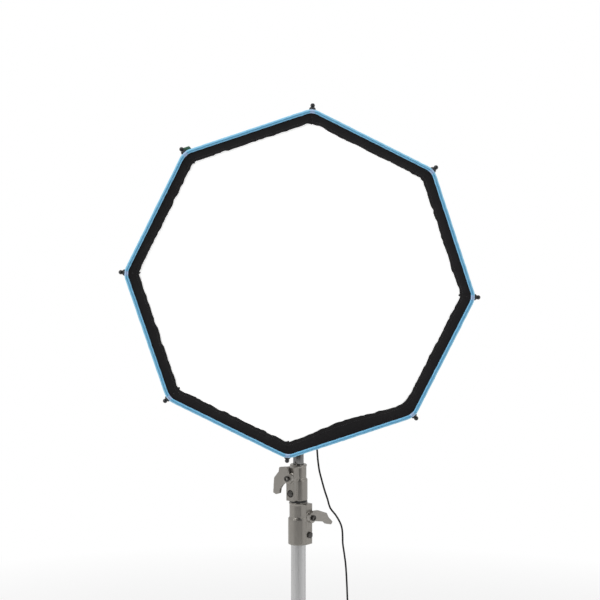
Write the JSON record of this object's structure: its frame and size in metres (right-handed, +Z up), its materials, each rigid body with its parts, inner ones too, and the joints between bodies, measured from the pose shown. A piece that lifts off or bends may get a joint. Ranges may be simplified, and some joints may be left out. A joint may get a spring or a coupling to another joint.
{
  "type": "studio softbox",
  "caption": "Octagonal fabric softbox on a folding rod ring, with its lamp head, tilting yoke, telescopic floor stand and power lead.",
  "frame": {"origin": "on the floor, on the stand's vertical axis, at the middle of the object's footprint", "axes": "+Z up; the softbox faces -Y; +X is to the right of someone facing the diffuser"},
  "size_m": [0.8848, 0.912, 1.8126],
  "materials": {
    "black_skin": "matt coated ripstop",
    "silver_lining": "metallised silver cloth",
    "black_loop": "brushed loop-face lip",
    "blue_binding": "woven twill tape",
    "white_diffusion": "translucent diffusion cloth",
    "black_webbing": "folded webbing",
    "green_tab": "woven tab",
    "black_anodised": "satin black anodised",
    "spring_rod": "black coated spring steel with moulded tips",
    "bright_steel": "bright zinc plated",
    "clear_aluminium": "machined",
    "charcoal_paint": "fine textured powder coat",
    "sink_aluminium": "dark anodised extrusion",
    "phosphor": "yellow phosphor on a white board",
    "clear_glass": "polished",
    "display_glass": "gloss dark window",
    "pivot_steel": "dark turned steel",
    "black_rubber": "moulded",
    "red_switch": "moulded rocker",
    "pin_chrome": "polished",
    "black_nylon": "moulded",
    "lever_grey": "cast grey",
    "cast_grey": "warm grey tumbled die casting",
    "lever_cast": "warm grey die cast",
    "bolt_steel": "zinc plated",
    "riser_steel": "chrome plated tube",
    "column_steel": "satin plated tube",
    "leg_steel": "satin plated tube",
    "strut_steel": "zinc plated flat",
    "lead_black": "soft PVC jacket",
    "plug_black": "moulded connector"
  },
  "bodies": {
    "stand_base": {"riser_bush": "black_nylon", "clamp_casting": "cast_grey", "clamp_bolt": "bolt_steel", "column_tube": "column_steel", "leg_base": "cast_grey", "cord_lower": "lead_black", "cord_coil": "lead_black", "cord_plug": "plug_black"},
    "riser": {"receiver_casting": "cast_grey", "riser_tube": "riser_steel", "receiver_bolt": "bolt_steel"},
    "yoke": {"yoke_arm": "charcoal_paint", "junior_pin": "pin_chrome", "friction_washers": "black_nylon", "cord_clip": "black_nylon", "cord_head": "lead_black", "cord_upper": "lead_black"},
    "lamp": {"adapter_ring": "clear_aluminium", "lamp_housing": "charcoal_paint", "heat_sink": "sink_aluminium", "led_board": "phosphor", "led_lens": "clear_glass", "rear_panel": "charcoal_paint", "display_window": "display_glass", "tilt_trunnions": "pivot_steel", "rear_handle": "black_rubber", "cord_gland": "black_rubber", "lamp_screws": "bright_steel"},
    "softbox": {"bag_skin": "black_skin", "bag_lining": "silver_lining", "front_lip": "black_loop", "edge_binding": "blue_binding", "front_diffuser": "white_diffusion", "inner_baffle": "white_diffusion", "corner_pockets": "black_webbing", "marker_tab": "green_tab", "ring_hub": "black_anodised", "clevis_pins": "bright_steel"},
    "rod_1": {"rod_1": "spring_rod"},
    "rod_2": {"rod_2": "spring_rod"},
    "rod_3": {"rod_3": "spring_rod"},
    "rod_4": {"rod_4": "spring_rod"},
    "rod_5": {"rod_5": "spring_rod"},
    "rod_6": {"rod_6": "spring_rod"},
    "rod_7": {"rod_7": "spring_rod"},
    "rod_8": {"rod_8": "spring_rod"},
    "tuning_knob": {"tuning_knob": "black_rubber"},
    "power_switch": {"power_switch": "red_switch"},
    "spring_catch": {"spring_catch": "bright_steel"},
    "tilt_lever": {"tilt_lever": "lever_grey"},
    "receiver_lever": {"receiver_lever": "lever_cast"},
    "clamp_lever": {"clamp_lever": "lever_cast"},
    "leg_collar": {"leg_collar": "cast_grey"},
    "collar_lever": {"collar_lever": "lever_cast"},
    "leg_1": {"leg_1": "leg_steel"},
    "leg_2": {"leg_2": "leg_steel"},
    "leg_3": {"leg_3": "leg_steel"},
    "brace_1": {"brace_1": "strut_steel"},
    "brace_2": {"brace_2": "strut_steel"},
    "brace_3": {"brace_3": "strut_steel"}
  },
  "joints": [
    {"name": "riser_slide", "type": "slide", "parent": "stand_base", "child": "riser", "axis": [0, 0, 1], "range_m": [0, 0.4], "deforming": ["cord_lower"]},
    {"name": "head_pan", "type": "hinge", "parent": "riser", "child": "yoke", "pos_m": [0, 0, 0.8], "axis": [0, 0, 1], "range_deg": [-90, 90], "deforming": ["cord_upper"]},
    {"name": "head_tilt", "type": "hinge", "parent": "yoke", "child": "lamp", "pos_m": [0, 0, 1.37], "axis": [-1, 0, 0], "range_deg": [-35, 60], "deforming": ["cord_head"]},
    {"name": "ring_turn", "type": "hinge", "parent": "lamp", "child": "softbox", "pos_m": [0, -0.1, 1.37], "axis": [0, -1, 0], "continuous": true},
    {"name": "rod_1_fold", "type": "hinge", "parent": "softbox", "child": "rod_1", "pos_m": [0.08578, -0.116, 1.36385], "axis": [-0.0715, 0, -0.9974], "range_deg": [0, 12], "deforming": ["bag_skin", "bag_lining", "front_lip", "edge_binding", "front_diffuser", "inner_baffle", "corner_pockets", "marker_tab"]},
    {"name": "rod_2_fold", "type": "hinge", "parent": "softbox", "child": "rod_2", "pos_m": [0.065, -0.116, 1.42631], "axis": [0.6547, 0, -0.7559], "range_deg": [0, 12]},
    {"name": "rod_3_fold", "type": "hinge", "parent": "softbox", "child": "rod_3", "pos_m": [0.00615, -0.116, 1.45578], "axis": [0.9974, 0, -0.0715], "range_deg": [0, 12]},
    {"name": "rod_4_fold", "type": "hinge", "parent": "softbox", "child": "rod_4", "pos_m": [-0.05631, -0.116, 1.435], "axis": [0.7559, 0, 0.6547], "range_deg": [0, 12]},
    {"name": "rod_5_fold", "type": "hinge", "parent": "softbox", "child": "rod_5", "pos_m": [-0.08578, -0.116, 1.37615], "axis": [0.0715, 0, 0.9974], "range_deg": [0, 12]},
    {"name": "rod_6_fold", "type": "hinge", "parent": "softbox", "child": "rod_6", "pos_m": [-0.065, -0.116, 1.31369], "axis": [-0.6547, 0, 0.7559], "range_deg": [0, 12]},
    {"name": "rod_7_fold", "type": "hinge", "parent": "softbox", "child": "rod_7", "pos_m": [-0.00615, -0.116, 1.28422], "axis": [-0.9974, 0, 0.0715], "range_deg": [0, 12]},
    {"name": "rod_8_fold", "type": "hinge", "parent": "softbox", "child": "rod_8", "pos_m": [0.05631, -0.116, 1.305], "axis": [-0.7559, 0, -0.6547], "range_deg": [0, 12]},
    {"name": "receiver_lever_turn", "type": "hinge", "parent": "riser", "child": "receiver_lever", "pos_m": [0, 0, 0.808], "axis": [-0.5878, -0.809, 0], "range_deg": [0, 80]},
    {"name": "clamp_lever_turn", "type": "hinge", "parent": "stand_base", "child": "clamp_lever", "pos_m": [0, 0, 0.7], "axis": [0.766, -0.6428, 0], "range_deg": [0, 100]},
    {"name": "tilt_lever_turn", "type": "hinge", "parent": "yoke", "child": "tilt_lever", "pos_m": [0.18, 0, 1.37], "axis": [1, 0, 0], "range_deg": [0, 100]},
    {"name": "tuning_knob_turn", "type": "hinge", "parent": "lamp", "child": "tuning_knob", "pos_m": [-0.045, 0.175, 1.335], "axis": [0, 1, 0], "continuous": true},
    {"name": "switch_rock", "type": "hinge", "parent": "lamp", "child": "power_switch", "pos_m": [0.0452, 0.175, 1.3372], "axis": [1, 0, 0], "range_deg": [-8, 8]},
    {"name": "spring_catch_slide", "type": "slide", "parent": "lamp", "child": "spring_catch", "axis": [0, 0, 1], "range_m": [0, 0.005], "stiffness_N_per_m": 600, "springref_m": -0.002},
    {"name": "stand_collar_slide", "type": "slide", "parent": "stand_base", "child": "leg_collar", "axis": [0, 0, 1], "range_m": [0, 0.15944]},
    {"name": "stand_collar_lever_turn", "type": "hinge", "parent": "leg_collar", "child": "collar_lever", "pos_m": [0, 0, 0.4], "axis": [0, -1, 0], "range_deg": [0, 60]},
    {"name": "stand_leg_1_fold", "type": "hinge", "parent": "leg_collar", "child": "leg_1", "pos_m": [0, 0.042, 0.4], "axis": [-1, 0, 0], "range_deg": [-0.2, 38]},
    {"name": "stand_brace_1_fold", "type": "hinge", "parent": "stand_base", "child": "brace_1", "pos_m": [0, 0.042, 0.02073], "axis": [1, 0, 0], "range_deg": [-0.2, 38]},
    {"name": "stand_leg_2_fold", "type": "hinge", "parent": "leg_collar", "child": "leg_2", "pos_m": [-0.03637, -0.021, 0.4], "axis": [0.5, -0.866, 0], "range_deg": [-0.2, 38]},
    {"name": "stand_brace_2_fold", "type": "hinge", "parent": "stand_base", "child": "brace_2", "pos_m": [-0.03637, -0.021, 0.02073], "axis": [-0.5, 0.866, 0], "range_deg": [-0.2, 38]},
    {"name": "stand_leg_3_fold", "type": "hinge", "parent": "leg_collar", "child": "leg_3", "pos_m": [0.03637, -0.021, 0.4], "axis": [0.5, 0.866, 0], "range_deg": [-0.2, 38]},
    {"name": "stand_brace_3_fold", "type": "hinge", "parent": "stand_base", "child": "brace_3", "pos_m": [0.03637, -0.021, 0.02073], "axis": [-0.5, -0.866, 0], "range_deg": [-0.2, 38]}
  ],
  "couplings": [
    {"joint": "stand_leg_1_fold", "follows": "stand_collar_slide", "rad_per_m": 4.1377},
    {"joint": "stand_brace_1_fold", "follows": "stand_collar_slide", "rad_per_m": 4.1377},
    {"joint": "stand_leg_2_fold", "follows": "stand_collar_slide", "rad_per_m": 4.1377},
    {"joint": "stand_brace_2_fold", "follows": "stand_collar_slide", "rad_per_m": 4.1377},
    {"joint": "stand_leg_3_fold", "follows": "stand_collar_slide", "rad_per_m": 4.1377},
    {"joint": "stand_brace_3_fold", "follows": "stand_collar_slide", "rad_per_m": 4.1377},
    {"joint": "rod_2_fold", "follows": "rod_1_fold", "ratio": 1},
    {"joint": "rod_3_fold", "follows": "rod_1_fold", "ratio": 1},
    {"joint": "rod_4_fold", "follows": "rod_1_fold", "ratio": 1},
    {"joint": "rod_5_fold", "follows": "rod_1_fold", "ratio": 1},
    {"joint": "rod_6_fold", "follows": "rod_1_fold", "ratio": 1},
    {"joint": "rod_7_fold", "follows": "rod_1_fold", "ratio": 1},
    {"joint": "rod_8_fold", "follows": "rod_1_fold", "ratio": 1}
  ]
}
